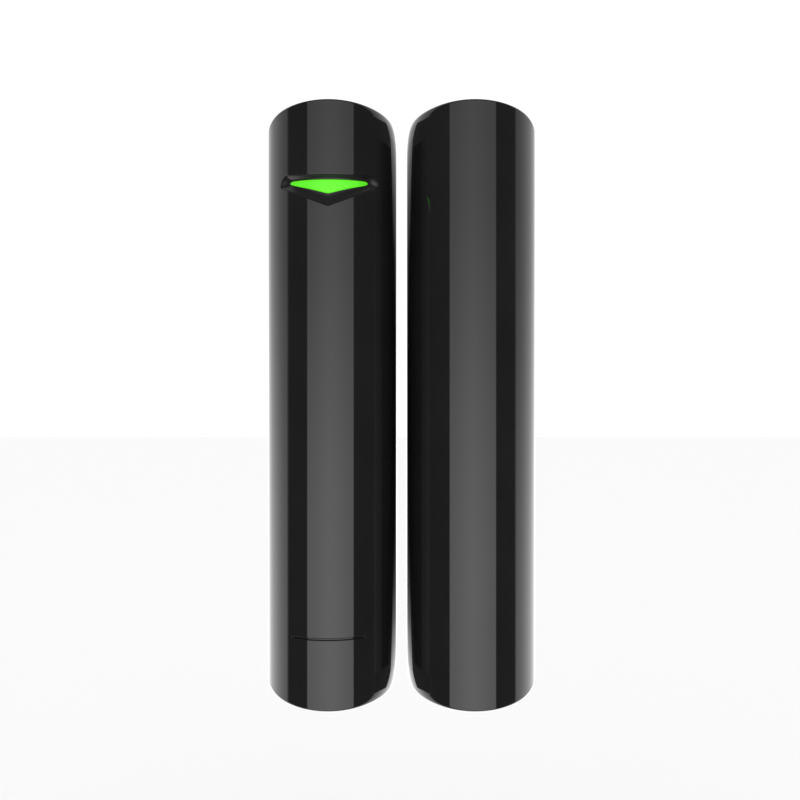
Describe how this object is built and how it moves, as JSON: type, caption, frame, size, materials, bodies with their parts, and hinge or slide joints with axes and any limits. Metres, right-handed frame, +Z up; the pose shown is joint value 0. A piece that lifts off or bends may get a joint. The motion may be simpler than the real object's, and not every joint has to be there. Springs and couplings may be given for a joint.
{
  "type": "door contact sensor",
  "caption": "Two half-round upright black casings side by side: a wireless detector with a lit green V-shaped indicator, and a plain magnet unit, each sliding off its own wall panel.",
  "frame": {"origin": "centre of the detector mounting panel's wall face", "axes": "+Z up along the casings, +Y into the wall, +X from the detector to the magnet unit; the front faces -Y"},
  "size_m": [0.0417, 0.022, 0.09],
  "materials": {
    "casing": "polished moulded black",
    "back_plastic": "fine textured black moulding",
    "panel_plastic": "satin dark grey moulding",
    "bezel": "matte dark grey moulding",
    "lens": "diffusing green light guide, lit",
    "lamp": "moulded LED",
    "board": "green solder mask on glass fibre",
    "steel": "plated steel screws",
    "shield": "tinned sheet",
    "chip": "moulded epoxy",
    "ceramic_parts": "ceramic chip parts",
    "antenna_wire": "enamelled copper-coloured wire",
    "reed_glass": "clear green-tinted glass",
    "blade": "plated nickel-iron blade",
    "cell_can": "nickel-plated can",
    "sleeve": "shrink film, plain",
    "contact": "nickel-plated spring steel",
    "cradle": "moulded frame",
    "switch": "moulded switch body",
    "button": "light grey button",
    "terminal": "green moulded terminal housing",
    "cage": "plated brass",
    "label": "blank paper label",
    "foam_tape": "closed-cell foam tape",
    "magnet": "nickel-plated magnet"
  },
  "bodies": {
    "detector_panel": {"detector_adhesive_pads": "foam_tape", "detector_mounting_panel": "panel_plastic"},
    "detector_unit": {"detector_front_shell": "casing", "detector_back_cover": "back_plastic", "indicator_bezel": "bezel", "light_guide": "lens", "status_led": "lamp", "circuit_board": "board", "board_screws": "steel", "radio_shield_can": "shield", "microcontroller": "chip", "board_passives": "ceramic_parts", "helical_antenna": "antenna_wire", "reed_glass": "reed_glass", "reed_blade_upper": "blade", "tamper_switch_body": "switch", "tamper_spring": "contact", "power_switch_body": "switch", "terminal_block": "terminal", "battery_cell": "cell_can", "battery_sleeve": "sleeve", "battery_cradle": "cradle", "battery_contact_positive": "contact", "battery_contact_negative": "contact", "blank_label": "label"},
    "tamper_plunger": {"tamper_button": "button"},
    "power_key": {"power_button": "button"},
    "screw_left": {"terminal_screw_left": "steel"},
    "screw_right": {"terminal_screw_right": "steel"},
    "cage_left": {"terminal_cage_left": "cage"},
    "cage_right": {"terminal_cage_right": "cage"},
    "reed_blade": {"reed_blade_lower": "blade"},
    "magnet_panel": {"magnet_adhesive_pads": "foam_tape", "magnet_mounting_panel": "panel_plastic"},
    "magnet_unit": {"magnet_front_shell": "casing", "magnet_back_cover": "back_plastic", "magnet_tray": "cradle", "bar_magnet": "magnet"}
  },
  "joints": [
    {"name": "detector_slide", "type": "slide", "parent": "detector_panel", "child": "detector_unit", "axis": [0, 0, 1], "range_m": [0, 0.006]},
    {"name": "tamper_press", "type": "slide", "parent": "detector_unit", "child": "tamper_plunger", "axis": [0, 1, 0], "range_m": [0, 0.00056], "deforming": ["tamper_spring"]},
    {"name": "power_press", "type": "slide", "parent": "detector_unit", "child": "power_key", "axis": [0, -1, 0], "range_m": [0, 0.0004], "stiffness_N_per_m": 2000},
    {"name": "terminal_screw_left_turn", "type": "hinge", "parent": "detector_unit", "child": "screw_left", "pos_m": [-0.00175, -0.005, 0.0022], "axis": [0, -1, 0], "range_deg": [0, 724]},
    {"name": "terminal_screw_right_turn", "type": "hinge", "parent": "detector_unit", "child": "screw_right", "pos_m": [0.00175, -0.005, 0.0022], "axis": [0, -1, 0], "range_deg": [0, 724]},
    {"name": "terminal_cage_left_rise", "type": "slide", "parent": "detector_unit", "child": "cage_left", "axis": [0, 1, 0], "range_m": [0, 0.0007]},
    {"name": "terminal_cage_right_rise", "type": "slide", "parent": "detector_unit", "child": "cage_right", "axis": [0, 1, 0], "range_m": [0, 0.0007]},
    {"name": "reed_flex", "type": "hinge", "parent": "detector_unit", "child": "reed_blade", "pos_m": [0.00571, -0.0109, 0.0135], "axis": [0, -1, 0], "range_deg": [0, 0.97]},
    {"name": "magnet_travel", "type": "slide", "parent": "detector_panel", "child": "magnet_panel", "axis": [1, 0, 0], "range_m": [0, 0.03]},
    {"name": "magnet_slide", "type": "slide", "parent": "magnet_panel", "child": "magnet_unit", "axis": [0, 0, 1], "range_m": [0, 0.006]}
  ],
  "couplings": [
    {"joint": "tamper_press", "follows": "detector_slide", "ratio": 0.09},
    {"joint": "terminal_screw_left_turn", "follows": "terminal_cage_left_rise", "rad_per_m": 17952},
    {"joint": "terminal_screw_right_turn", "follows": "terminal_cage_right_rise", "rad_per_m": 17952},
    {"joint": "reed_flex", "follows": "magnet_travel", "rad_per_m": 0.55269}
  ]
}
